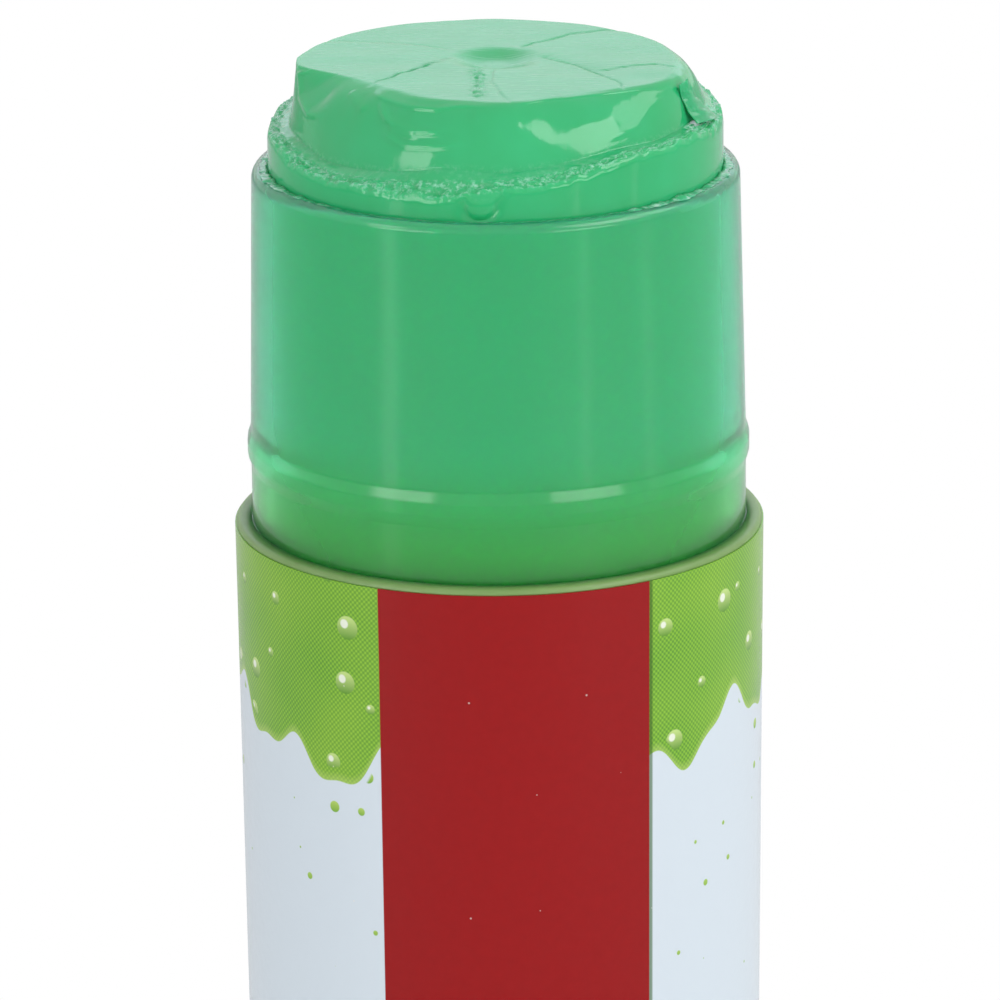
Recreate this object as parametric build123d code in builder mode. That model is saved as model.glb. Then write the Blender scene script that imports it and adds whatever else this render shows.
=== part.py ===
from build123d import *
import os

# A twist-up glue stick without its cap, in millimetres.
# The origin is the centre of the foot, +Z runs up the stick, and the side seen in the photo faces -Y.

# Barrel: labelled body below, thinner neck for the cap above
bore_r = 12.9
neck_wall = 1.1  # at the shoulder
neck_draft = 0.3  # how much thinner the wall is at the rim
neck_height = 20.4
shoulder = 0.9  # width of the step out to the body
shoulder_round = 0.3
body_length = 62.65  # foot to shoulder
body_draft = 0.5  # how much the body's radius narrows towards the foot
socket_wall = 1.02  # round the knob's collar
rim_round = 0.6
rim_break = 0.08  # the inner edge of the rim
bead_rise = 4.3  # middle of the snap bead above the shoulder
bead_height = 2.2
bead_land = 0.6  # straight crest that the cap's mouth slides over
bead_proud = 0.2
rib_width = 1.2  # two ribs that keep the carrier from turning
rib_height = 0.5
rib_above_shoulder = 5.0

# Label: printed film on a coat of adhesive
adhesive = 0.02
film = 0.08
label_margin = 3.0  # bare barrel left below the label

# Knob: the turning base
knob_proud = 0.4  # beyond the barrel's foot
knob_height = 9.0
knob_wall = 1.7
knob_plate = 1.6
foot_round = 0.8
top_round = 0.4
grip_count = 40
grip_r = 0.75  # round of one grip flute
grip_depth = 0.35
grip_low = 1.6  # plain band below the flutes
grip_top = 1.2  # plain band above them
web_count = 8
web = 1.0
web_lift = 1.6  # webs stand this far above the foot
boss_wall = 1.9
boss_lift = 3.4
turn_gap = 0.35  # shadow line between knob and barrel
spigot_wall = 1.3  # collar that runs inside the barrel
spigot_height = 6.5
spigot_lead = 0.4
snap_rise = 3.8  # snap ring above the knob
snap_height = 1.4
snap_proud = 0.3
running_gap = 0.08  # on the radius, for the turning fit
end_gap = 0.4  # along the axis, wherever one piece stops short of another

# Spindle: the coarse left-hand screw
lead = 4.0
core_r = 2.2
thread_height = 0.8
root_width = 2.0
crest_width = 1.0
thread_bite = 0.15  # how deep the thread's root is sunk in the core
thread_rise = 1.4  # first turn above the flange
flange_spread = 1.6  # beyond the boss
flange = 1.2
spindle_below_rim = 10.4
plain_tip = 1.5
key_flats = 5.0  # hexagonal key across its flats
key_gap = 0.05
catch_proud = 0.8  # beyond the key's flats
catch_lip = 0.5
catch_nose = 1.2
catch_slot = 1.0

# Carrier: the cup that lifts the glue
glide_gap = 0.1
raised = 7.5  # how far the glue is wound up at rest
cup_floor = 1.4
cup_depth = 6.0
cup_wall = 0.9
skirt = 4.2  # guide skirt below the floor
rib_gap = 0.15  # beside each rib
nut_wall = 1.6
nut_rise = 2.3  # nut above the flange when the glue is fully down
nut_above = 3.6  # nut above the cup's floor
thread_gap = 0.12
fin_count = 6
fin = 1.0
fin_height = 4.8
fin_clear = 1.7  # fin's end to the cup's wall

# Glue: a worn two-step top on a plain column
glue_above_rim = 5.8
void_gap = 0.2  # round the spindle
step_drop = 3.1  # top face down to the worn ledge
ledge_width = 1.4
step_shift = -0.4
step_flare = 12.0  # slope of the step's side, in degrees
ledge_fall_front = 4.5  # in degrees
ledge_fall_left = 2.0
step_round = 0.5
dimple_r = 2.1
dimple_depth = 0.4
chip_r = 5.5  # bite out of the step's front left edge
chip_bite = 2.5  # how far it reaches in
chip_drop = 1.3
chip_way = 215.0  # its direction, in degrees from +X

overrun = 1.0  # how far every cut runs past the face that it opens

# Radii and heights that follow from the sizes above
neck_foot_r = bore_r + neck_wall
neck_rim_r = neck_foot_r - neck_draft
body_r = neck_foot_r + shoulder
body_foot_r = body_r - body_draft
socket_r = body_foot_r - socket_wall
spigot_r = socket_r - running_gap
knob_r = body_foot_r + knob_proud
thread_r = core_r + thread_height
nut_r = thread_r + nut_wall
boss_r = key_flats / 2 + boss_wall
glide_r = bore_r - glide_gap

barrel_foot_z = knob_height + turn_gap
shoulder_z = barrel_foot_z + body_length
rim_z = shoulder_z + neck_height
bead_z = shoulder_z + bead_rise
rib_top_z = shoulder_z + rib_above_shoulder
spigot_top_z = knob_height + spigot_height
socket_top_z = spigot_top_z + end_gap
flange_top_z = knob_height + flange
thread_low_z = flange_top_z + thread_rise
spindle_top_z = rim_z - spindle_below_rim


def left_hand_thread(low_z, high_z, gap):
    """Adds the screw's ridge, larger by gap all round, on a left-hand helix that starts at low_z on the +X side."""
    with BuildLine() as line:
        Helix(lead, high_z - low_z, core_r, center=(0, 0, low_z), lefthand=True)
    with BuildSketch(Plane.XZ) as ridge:
        with BuildLine():
            Polyline(
                (core_r - thread_bite, low_z - root_width / 2 - gap),
                (thread_r + gap, low_z - crest_width / 2 - gap),
                (thread_r + gap, low_z + crest_width / 2 + gap),
                (core_r - thread_bite, low_z + root_width / 2 + gap),
                close=True,
            )
        make_face()
    sweep(ridge.sketch, path=line.line, is_frenet=True)


def guide_slots(low_z, high_z):
    """Cuts the two slots that clear the barrel's guide ribs."""
    with BuildSketch(Plane.XY.offset(low_z)) as slots:
        with PolarLocations(bore_r - rib_height - rib_gap, 2):
            Rectangle(
                rib_height + rib_gap + overrun,
                rib_width + 2 * rib_gap,
                align=(Align.MIN, Align.CENTER),
            )
    extrude(slots.sketch, amount=high_z - low_z, mode=Mode.SUBTRACT)


# The barrel is one turned profile: its outside up to the rim, then down the bore to the wider socket for the knob.
snap_r = spigot_r + snap_proud
snap_z = knob_height + snap_rise
groove_r = snap_r + running_gap
groove_half = (snap_height + end_gap) / 2
bead_r = neck_foot_r + bead_proud

with BuildPart() as barrel:
    with BuildSketch(Plane.XZ):
        with BuildLine():
            Polyline(
                (bore_r, rim_z - rim_break),
                (bore_r, socket_top_z),
                (socket_r, socket_top_z),
                (socket_r, snap_z + groove_half + snap_proud),
                (groove_r, snap_z + groove_half),
                (groove_r, snap_z - groove_half),
                (socket_r, snap_z - groove_half - snap_proud),
                (socket_r, barrel_foot_z),
                (body_foot_r, barrel_foot_z),
                (body_r, shoulder_z - shoulder_round),
            )
            RadiusArc(
                (body_r, shoulder_z - shoulder_round),
                (body_r - shoulder_round, shoulder_z),
                -shoulder_round,
            )
            Polyline(
                (body_r - shoulder_round, shoulder_z),
                (neck_foot_r, shoulder_z),
                (neck_foot_r, bead_z - bead_height / 2),
            )
            Spline(
                (neck_foot_r, bead_z - bead_height / 2),
                (bead_r, bead_z - bead_land / 2),
                tangents=((0, 1), (0, 1)),
            )
            Line((bead_r, bead_z - bead_land / 2), (bead_r, bead_z + bead_land / 2))
            Spline(
                (bead_r, bead_z + bead_land / 2),
                (neck_foot_r, bead_z + bead_height / 2),
                tangents=((0, 1), (0, 1)),
            )
            Line(
                (neck_foot_r, bead_z + bead_height / 2),
                (neck_rim_r, rim_z - rim_round),
            )
            RadiusArc(
                (neck_rim_r, rim_z - rim_round),
                (neck_rim_r - rim_round, rim_z),
                -rim_round,
            )
            Polyline(
                (neck_rim_r - rim_round, rim_z),
                (bore_r + rim_break, rim_z),
                (bore_r, rim_z - rim_break),
            )
        make_face()
    revolve(axis=Axis.Z)
    # The two guide ribs stand on the left and right of the bore, rooted in its wall.
    with BuildSketch(Plane.XY.offset(socket_top_z)):
        with PolarLocations(bore_r - rib_height, 2):
            Rectangle(
                rib_height + (socket_r - bore_r),
                rib_width,
                align=(Align.MIN, Align.CENTER),
            )
    extrude(amount=rib_top_z - socket_top_z)
barrel.part.label = "barrel"

# The label is a closed sleeve that follows the body's draft.
label_low_z = barrel_foot_z + label_margin
label_high_z = shoulder_z - shoulder_round
draft_per_mm = (body_r - body_foot_r) / (label_high_z - barrel_foot_z)
label_low_r = body_foot_r + draft_per_mm * label_margin

with BuildPart() as label:
    with BuildSketch(Plane.XZ):
        with BuildLine():
            Polyline(
                (label_low_r + adhesive, label_low_z),
                (label_low_r + adhesive + film, label_low_z),
                (body_r + adhesive + film, label_high_z),
                (body_r + adhesive, label_high_z),
                close=True,
            )
        make_face()
    revolve(axis=Axis.Z)
label.part.label = "label"

# The knob is a shallow cup with its floor on top, webs below, and a snap collar that runs in the barrel.
plate_z = knob_height - knob_plate
collar_in_r = spigot_r - spigot_wall

with BuildPart() as knob:
    with BuildSketch(Plane.XZ):
        with BuildLine():
            Polyline(
                (0, plate_z),
                (knob_r - knob_wall, plate_z),
                (knob_r - knob_wall, 0),
                (knob_r - foot_round, 0),
            )
            RadiusArc((knob_r - foot_round, 0), (knob_r, foot_round), -foot_round)
            Line((knob_r, foot_round), (knob_r, knob_height - top_round))
            RadiusArc(
                (knob_r, knob_height - top_round),
                (knob_r - top_round, knob_height),
                -top_round,
            )
            Polyline(
                (knob_r - top_round, knob_height),
                (spigot_r, knob_height),
                (spigot_r, snap_z - snap_height / 2 - snap_proud),
                (snap_r, snap_z - snap_height / 2),
                (snap_r, snap_z),
                (spigot_r, snap_z + snap_height / 2),
                (spigot_r, spigot_top_z - spigot_lead),
                (spigot_r - spigot_lead, spigot_top_z),
                (collar_in_r, spigot_top_z),
                (collar_in_r, knob_height),
                (0, knob_height),
                (0, plate_z),
            )
        make_face()
    revolve(axis=Axis.Z)
    with BuildSketch(Plane.XY.offset(web_lift)):
        with PolarLocations((knob_r - knob_wall / 2) / 2, web_count):
            Rectangle(knob_r - knob_wall / 2, web)
    extrude(amount=plate_z - web_lift + knob_plate / 2)
    # The webs meet in the boss, which stops short of the foot and has the key's socket through it.
    with BuildSketch():
        Circle(boss_r)
    extrude(amount=boss_lift, mode=Mode.SUBTRACT)
    with BuildSketch(Plane.XY.offset(boss_lift)):
        Circle(boss_r)
    extrude(amount=plate_z - boss_lift + knob_plate / 2)
    with BuildSketch(Plane.XY.offset(boss_lift - overrun)):
        RegularPolygon(key_flats / 2 + key_gap, 6, major_radius=False)
    extrude(amount=knob_height - boss_lift + 2 * overrun, mode=Mode.SUBTRACT)
    with BuildSketch(Plane.XY.offset(grip_low)):
        with PolarLocations(knob_r + grip_r - grip_depth, grip_count):
            Circle(grip_r)
    extrude(amount=knob_height - grip_top - grip_low, mode=Mode.SUBTRACT)
knob.part.label = "knob"

# The spindle: screw above the flange, hexagonal key and split catch below it.
catch_z = boss_lift - key_gap
catch_r = key_flats / 2 + catch_proud
flange_r = boss_r + flange_spread

with BuildPart() as spindle:
    with BuildSketch(Plane.XZ):
        with BuildLine():
            Polyline(
                (0, catch_z - catch_lip - catch_nose),
                (core_r, catch_z - catch_lip - catch_nose),
                (catch_r, catch_z - catch_lip),
                (catch_r, catch_z),
                (core_r, catch_z),
                (core_r, knob_height),
                (flange_r, knob_height),
                (flange_r, flange_top_z),
                (core_r, flange_top_z),
                (core_r, spindle_top_z - core_r / 2),
                (core_r / 2, spindle_top_z),
                (0, spindle_top_z),
                close=True,
            )
        make_face()
    revolve(axis=Axis.Z)
    with BuildSketch(Plane.XY.offset(catch_z)):
        RegularPolygon(key_flats / 2, 6, major_radius=False)
    extrude(amount=knob_height + flange / 2 - catch_z)
    with BuildSketch(Plane.XY.offset(catch_z - catch_lip - catch_nose - overrun)):
        Rectangle(2 * flange_r, catch_slot)
    extrude(amount=catch_lip + catch_nose + overrun + (plate_z - boss_lift), mode=Mode.SUBTRACT)
    left_hand_thread(thread_low_z, spindle_top_z - plain_tip - root_width, 0)
spindle.part.label = "spindle"

# The space that the screw sweeps through the nut starts a whole number of turns up the spindle's thread, so the two are
# in step at rest.
skirt_low_z = socket_top_z + end_gap + raised
floor_z = skirt_low_z + skirt + cup_floor
cup_top_z = floor_z + cup_depth
nut_low_z = flange_top_z + nut_rise + raised
nut_high_z = floor_z + nut_above
fin_reach = glide_r - cup_wall - fin_clear
turns_up = (nut_low_z - thread_low_z) // lead - 1
tap_low_z = thread_low_z + turns_up * lead

with BuildPart() as tap:
    with BuildSketch(Plane.XY.offset(tap_low_z - lead)):
        Circle(core_r + thread_gap)
    extrude(amount=nut_high_z - tap_low_z + 3 * lead)
    left_hand_thread(tap_low_z, nut_high_z + lead, thread_gap)

# The carrier: a cup with fins in it, a notched guide skirt below its floor, and a long nut down its middle.
with BuildPart() as carrier:
    with BuildSketch(Plane.XZ):
        with BuildLine():
            Polyline(
                (0, nut_low_z),
                (nut_r, nut_low_z),
                (nut_r, floor_z - cup_floor),
                (glide_r - cup_wall, floor_z - cup_floor),
                (glide_r - cup_wall, skirt_low_z),
                (glide_r, skirt_low_z),
                (glide_r, cup_top_z),
                (glide_r - cup_wall, cup_top_z),
                (glide_r - cup_wall, floor_z),
                (nut_r, floor_z),
                (nut_r, nut_high_z),
                (0, nut_high_z),
                close=True,
            )
        make_face()
    revolve(axis=Axis.Z)
    with BuildSketch(Plane.XY.offset(floor_z - cup_floor / 2)):
        with PolarLocations((nut_r + fin_reach) / 2, fin_count, start_angle=360 / fin_count / 2):
            Rectangle(fin_reach - nut_r + 2 * thread_gap, fin)
    extrude(amount=cup_floor / 2 + fin_height)
    # The skirt is notched for the barrel's ribs, and the notches run up the whole cup.
    guide_slots(skirt_low_z - overrun, cup_top_z + overrun)
    add(tap.part, mode=Mode.SUBTRACT)
carrier.part.label = "carrier"

# The glue fills the cup, leaves the spindle its void, and has the ribs' grooves up to where they stopped when it was cast.
glue_top_z = rim_z + glue_above_rim
void_r = thread_r + void_gap
void_top_z = spindle_top_z + raised + end_gap
groove_top_z = rib_top_z + raised + end_gap
step_r = glide_r - ledge_width
ledge_z = glue_top_z - step_drop
dimple_ball_r = (dimple_r**2 + dimple_depth**2) / (2 * dimple_depth)
ledge = Plane(origin=(0, 0, ledge_z), z_dir=(0, 0, 1)).rotated((ledge_fall_front, -ledge_fall_left, 0))

with BuildPart() as glue:
    with BuildSketch(Plane.XY.offset(floor_z)):
        Circle(glide_r)
    extrude(amount=glue_top_z - floor_z)
    # Everything above the tilted ledge and outside the step is worn away.
    with BuildSketch(ledge):
        Circle(2 * glide_r)
        with Locations((step_shift, 0)):
            Circle(step_r, mode=Mode.SUBTRACT)
    extrude(amount=2 * step_drop, taper=-step_flare, mode=Mode.SUBTRACT)
    fillet(glue.faces().sort_by(Axis.Z)[-1].edges(), step_round)
    # A bite out of the step's front left edge, and the dimple over the spindle.
    with BuildSketch(Plane.XY.offset(glue_top_z - chip_drop)):
        with PolarLocations(step_r + chip_r - chip_bite, 1, start_angle=chip_way):
            Circle(chip_r)
    extrude(amount=chip_drop + overrun, mode=Mode.SUBTRACT)
    with Locations((step_shift, 0, glue_top_z - dimple_depth + dimple_ball_r)):
        Sphere(dimple_ball_r, mode=Mode.SUBTRACT)
    guide_slots(floor_z - overrun, groove_top_z)
    with BuildSketch(Plane.XY.offset(floor_z - overrun)):
        Circle(void_r)
    extrude(amount=void_top_z - floor_z + overrun, mode=Mode.SUBTRACT)
    add(carrier.part, mode=Mode.SUBTRACT)
glue.part.label = "glue"

os.makedirs("parts", exist_ok=True)
for piece in (barrel, label, knob, spindle, carrier, glue):
    export_step(piece.part, f"parts/{piece.part.label}.step")
    print(piece.part.label, piece.part.is_valid, round(piece.part.volume, 1))
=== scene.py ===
import bpy
import numpy as np
from mathutils import Matrix, Vector


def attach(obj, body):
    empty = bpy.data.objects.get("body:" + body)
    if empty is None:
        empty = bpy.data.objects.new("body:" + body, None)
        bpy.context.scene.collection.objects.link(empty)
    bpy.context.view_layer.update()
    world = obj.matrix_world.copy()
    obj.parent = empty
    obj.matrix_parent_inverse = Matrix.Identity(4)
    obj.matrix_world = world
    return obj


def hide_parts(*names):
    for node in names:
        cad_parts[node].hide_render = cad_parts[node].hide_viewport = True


# A twist-up glue stick, seen from a little above, with its cap off. Sizes in the dictionaries are
# millimetres.

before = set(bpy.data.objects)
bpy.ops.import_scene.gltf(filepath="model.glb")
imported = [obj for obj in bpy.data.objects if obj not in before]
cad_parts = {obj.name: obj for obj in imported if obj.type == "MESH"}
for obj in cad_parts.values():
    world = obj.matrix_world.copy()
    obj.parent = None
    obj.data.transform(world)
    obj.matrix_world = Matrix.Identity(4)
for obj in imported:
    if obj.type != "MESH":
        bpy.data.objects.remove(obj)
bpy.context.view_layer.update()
mm = 0.001
print("frame loaded")


# Helpers

def linear(hexColour):
    # sRGB hex to linear RGBA
    values = [int(hexColour[i:i + 2], 16) / 255 for i in (1, 3, 5)]
    return tuple(v / 12.92 if v <= 0.04045 else ((v + 0.055) / 1.055) ** 2.4 for v in values) + (1.0,)


def plug(node, inputs):
    # sets a node's inputs, by name or in their order: each takes a value, or a link from a socket or from a
    # node's first live output
    if isinstance(inputs, dict):
        pairs = [(node.inputs[name], value) for name, value in inputs.items()]
    else:
        pairs = zip([socket for socket in node.inputs if socket.enabled], inputs)
    for socket, value in pairs:
        if isinstance(value, bpy.types.Node):
            value = next(output for output in value.outputs if output.enabled)
        if isinstance(value, bpy.types.NodeSocket):
            node.id_data.links.new(value, socket)
        else:
            socket.default_value = value


def addNode(tree, kind, inputs=(), **settings):
    # a shader node of any kind, with its settings, values and links
    node = tree.nodes.new("ShaderNode" + kind)
    for name, value in settings.items():
        setattr(node, name, value)
    plug(node, inputs)
    return node


def newMaterial(name, **sockets):
    # a Principled material with constants on the shader's own sockets
    material = bpy.data.materials.new(name)
    material.use_nodes = True
    tree = material.node_tree
    shader = tree.nodes["Principled BSDF"]
    plug(shader, {socket.replace("_", " "): value for socket, value in sockets.items()})
    return material, tree, shader


def wear(node, material):
    # gives a CAD node's every material slot this material
    for slot in node.material_slots:
        slot.material = material


def gridPiece(name, points, closeEnds=True):
    # A closed mesh from a grid of points. The second axis runs round and closes on itself; the first is
    # closed by a fan at either end, or else its last row joins its first.
    rows, around = points.shape[:2]
    index = np.arange(rows * around).reshape(rows, around)
    here = index if closeEnds else np.concatenate([index, index[:1]])
    after = np.roll(here, -1, axis=1)
    quads = np.stack([here[:-1], after[:-1], after[1:], here[1:]], axis=-1).reshape(-1, 4)
    vertices = points.reshape(-1, 3)
    if closeEnds:
        ends = np.stack([points[0].mean(axis=0), points[-1].mean(axis=0)])
        first, last = len(vertices), len(vertices) + 1
        vertices = np.concatenate([vertices, ends])
        lowFan = np.stack([np.full(around, first), after[0], here[0]], axis=-1)
        highFan = np.stack([np.full(around, last), here[-1], after[-1]], axis=-1)
        fans = np.concatenate([lowFan, highFan])
    else:
        fans = np.zeros((0, 3), dtype=int)
    mesh = bpy.data.meshes.new(name)
    loops = np.concatenate([quads.ravel(), fans.ravel()])
    sizes = np.concatenate([np.full(len(quads), 4), np.full(len(fans), 3)])
    mesh.vertices.add(len(vertices))
    mesh.vertices.foreach_set("co", (vertices * mm).ravel())
    mesh.loops.add(len(loops))
    mesh.loops.foreach_set("vertex_index", loops)
    mesh.polygons.add(len(sizes))
    mesh.polygons.foreach_set("loop_start", np.concatenate([[0], np.cumsum(sizes)[:-1]]))
    mesh.polygons.foreach_set("use_smooth", np.ones(len(sizes), dtype=bool))
    mesh.update()
    mesh.validate()
    piece = bpy.data.objects.new(name, mesh)
    bpy.context.scene.collection.objects.link(piece)
    return piece


def smoothStep(low, high, x):
    # 0 below low, 1 above high, and 3t^2 - 2t^3 between
    t = np.clip((x - low) / (high - low), 0, 1)
    return t * t * (3 - 2 * t)


def bump(x, width):
    # a bell of height 1 and the given half width
    return np.exp(-(x / width) ** 2)


# Glue: a worn two-step column of firm green gel

glue = dict(
    columnRadius=12.78, lowZ=29.45, cupTopZ=35.45, cupRadius=11.85,
    grooveTopZ=84.9, grooveHalf=0.85, grooveDepth=0.6,
    topZ=98.13, around=660, dropRows=24, ledgeRows=24, wallRows=42, topRows=48,
    dimple=(0.05, 1.3), dimpleRadius=2.6, dimpleDepth=0.42,
    dropAngle=-3.9, dropZ=93.3, dropRadius=0.85, dropMoat=0.13, dropHeight=0.19,
    plainZ=88.0, bandLowZ=90.5, bandTopZ=93.3, ledgeZ=93.5, highestZ=98.195, arcPerDegree=0.223,
    ridgeArc=0.17, ridgeRise=4.4, tornBand=0.62,
)

# The step's outline at stations round the column, in degrees from the front and positive to the right: the
# edge of the top, how far the wall rounds out below it and drops at once, the wall's foot, and the ledge's
# outer edge.
step = dict(
    angle=[-180, -150, -120, -100, -90, -82, -74, -66, -56, -44, -30, -14,
           0, 12, 24, 36, 48, 58, 68, 78, 90, 105, 125, 150],
    edge=[10.6, 10.85, 11.0, 11.1, 10.9, 9.9, 8.9, 8.3, 8.0, 8.0, 8.2, 8.2,
          8.7, 8.6, 8.3, 8.5, 9.0, 9.6, 10.0, 10.1, 10.0, 10.0, 10.2, 10.4],
    brow=[0.3, 0.3, 0.2, 0.1, 0.3, 1.3, 2.2, 2.7, 2.6, 2.0, 1.7, 1.7,
          1.4, 1.1, 1.2, 1.2, 1.1, 1.0, 0.9, 0.9, 0.9, 0.8, 0.5, 0.4],
    fall=[0.0, 0.0, 0.0, 0.0, 0.2, 0.5, 0.6, 0.6, 0.45, 0.2, 0.05, 0.0,
          0.0, 0.0, 0.0, 0.0, 0.0, 0.0, 0.0, 0.0, 0.0, 0.0, 0.0, 0.0],
    foot=[11.3, 11.4, 11.5, 11.5, 11.6, 11.6, 11.5, 11.4, 11.4, 11.4, 11.4, 11.4,
          11.4, 11.4, 11.4, 11.5, 11.6, 11.6, 11.6, 11.7, 11.8, 11.7, 11.6, 11.4],
    footZ=[96.0, 95.8, 95.5, 95.2, 95.0, 94.9, 94.8, 94.6, 94.3, 94.3, 94.5, 94.9,
           94.75, 94.9, 95.2, 95.5, 95.5, 95.6, 95.7, 95.8, 95.9, 96.0, 96.1, 96.1],
    outerZ=[95.6, 95.4, 95.1, 94.6, 94.3, 94.5, 94.5, 93.95, 93.7, 93.65, 93.6, 93.55,
            94.0, 94.25, 94.8, 95.3, 95.45, 95.5, 95.3, 95.1, 95.1, 95.3, 95.5, 95.6],
)

# Creases of the top, from the dimple outwards: points (x right, y back), half width, depth, and a small
# step across.
creases = [
    ([(-2.3, 2.0), (-4.7, -1.7), (-6.8, -4.6)], 0.09, 0.06, 0.05),
    ([(1.4, 3.4), (2.6, 5.2), (4.3, 6.8), (6.5, 7.7), (8.2, 7.3)], 0.15, 0.06, -0.05),
    ([(2.3, 1.8), (4.5, -0.5), (6.7, -4.3), (7.2, -6.4)], 0.09, 0.06, -0.05),
    ([(5.6, -1.9), (8.8, -0.6), (10.4, -1.6)], 0.09, 0.03, 0.03),
    ([(-2.2, 3.4), (-5.3, 5.0), (-8.4, 5.6), (-10.9, 5.5)], 0.22, 0.03, 0.03),
    ([(-0.1, -1.2), (-0.2, -4.0), (0.2, -6.6), (0.9, -9.2)], 0.10, 0.06, 0.03),
]

# Ridges that the paper's edge left on the step's wall: points (degrees, share of the way up), half width in
# mm, and height.
ridges = [
    ([(-50, 0.90), (-42, 0.83), (-30, 0.77), (-20, 0.76), (-12, 0.83), (2, 0.85)], 0.16, 0.17),
    ([(-44, 0.80), (-37, 0.60), (-26, 0.49), (-14, 0.47)], 0.13, 0.13),
    ([(-41, 0.74), (-33, 0.50), (-22, 0.40)], 0.10, 0.08),
    ([(-38, 0.50), (-28, 0.34), (-18, 0.31), (-8, 0.33)], 0.15, 0.10),
    ([(-60, 0.86), (-52, 0.74), (-46, 0.66)], 0.18, 0.12),
    ([(-84, 0.96), (-87, 0.80), (-81, 0.55), (-71, 0.44), (-62, 0.50)], 0.20, 0.14),
    ([(5, 0.90), (16, 0.91), (30, 0.89), (44, 0.87), (58, 0.84)], 0.13, 0.12),
    ([(10, 0.82), (24, 0.82), (38, 0.80)], 0.12, 0.03),
    ([(60, 0.62), (52, 0.50), (44, 0.28), (30, 0.16)], 0.22, 0.05),
    ([(-76, 0.78), (-70, 0.70)], 0.75, -0.30),
]


def roundTable(name, angle):
    # a row of the step's stations read at any angle, with a smooth cubic between neighbours
    stations = np.array(step["angle"], dtype=float)
    count = len(stations)
    stations = np.concatenate([stations - 360, stations, stations + 360])
    values = np.tile(step[name], 3)
    k = np.clip(np.searchsorted(stations, angle, side="right") - 1, 1, 3 * count - 3)
    span = stations[k + 1] - stations[k]
    t = (angle - stations[k]) / span
    slope0 = (values[k + 1] - values[k - 1]) / (stations[k + 1] - stations[k - 1])
    slope1 = (values[k + 2] - values[k]) / (stations[k + 2] - stations[k])
    return (values[k] * (2 * t**3 - 3 * t**2 + 1) + values[k + 1] * (3 * t**2 - 2 * t**3)
            + slope0 * span * (t**3 - 2 * t**2 + t) + slope1 * span * (t**3 - t**2))


def latticeNoise(u, v, cells, seed):
    # random heights between -1 and 1 on a lattice, eased from one to the next; it closes on itself after
    # "cells" in u
    heights = np.random.default_rng(seed).uniform(-1, 1, (64, cells))
    iu, iv = np.floor(u).astype(int), np.floor(v).astype(int)
    fu, fv = u - iu, v - iv
    fu, fv = fu * fu * (3 - 2 * fu), fv * fv * (3 - 2 * fv)

    def corner(a, b):
        return heights[(iv + b) % 64, (iu + a) % cells]

    return ((corner(0, 0) * (1 - fu) + corner(1, 0) * fu) * (1 - fv)
            + (corner(0, 1) * (1 - fu) + corner(1, 1) * fu) * fv)


def nearPath(x, y, path):
    # distance to a bent line, how far along it the nearest point lies (0 to 1), and on which side
    best, along, side = np.full_like(x, 1e9), np.zeros_like(x), np.zeros_like(x)
    for k in range(len(path) - 1):
        (ax, ay), (bx, by) = path[k], path[k + 1]
        length = np.hypot(bx - ax, by - ay)
        t = np.clip(((x - ax) * (bx - ax) + (y - ay) * (by - ay)) / length**2, 0, 1)
        d = np.hypot(x - ax - t * (bx - ax), y - ay - t * (by - ay))
        nearer = d < best
        best, along = np.where(nearer, d, best), np.where(nearer, (k + t) / (len(path) - 1), along)
        side = np.where(nearer, np.sign((bx - ax) * (y - ay) - (by - ay) * (x - ax)), side)
    return best, along, side


def topRelief(x, y):
    # height of the top's relief: the dimple, the creases with the small steps beside them, and shallow
    # rubbing facets
    g = glue
    wobble = 0.12 * latticeNoise(x * 1.3 + 40, y * 1.3 + 40, 60, 5)
    fromDimple = np.hypot(x - g["dimple"][0], (y - g["dimple"][1])) / g["dimpleRadius"]
    relief = -g["dimpleDepth"] * smoothStep(1.1, 0.25, fromDimple)
    for path, halfWidth, depth, rise in creases:
        d, along, side = nearPath(x + wobble, y - wobble, path)
        ends = smoothStep(0, 0.08, along) * (0.35 + 0.65 * smoothStep(1.0, 0.75, along))
        relief -= depth * bump(d, halfWidth) * ends
        relief += rise * np.where(side > 0, 1, 0) * np.exp(-d / 1.1) * ends
    gouge, along, side = nearPath(x, y, [(-1.0, -0.4), (-0.9, -3.5), (-0.9, -7.4)])
    chipped = bump(gouge, 0.42) * smoothStep(0.02, 0.2, along)
    relief += chipped * (0.02 + 0.09 * latticeNoise(x * 5 + 90, y * 5 + 90, 200, 6))
    return relief + 0.035 * latticeNoise(x * 0.35 + 20, y * 0.5 + 20, 40, 7), chipped


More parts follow.
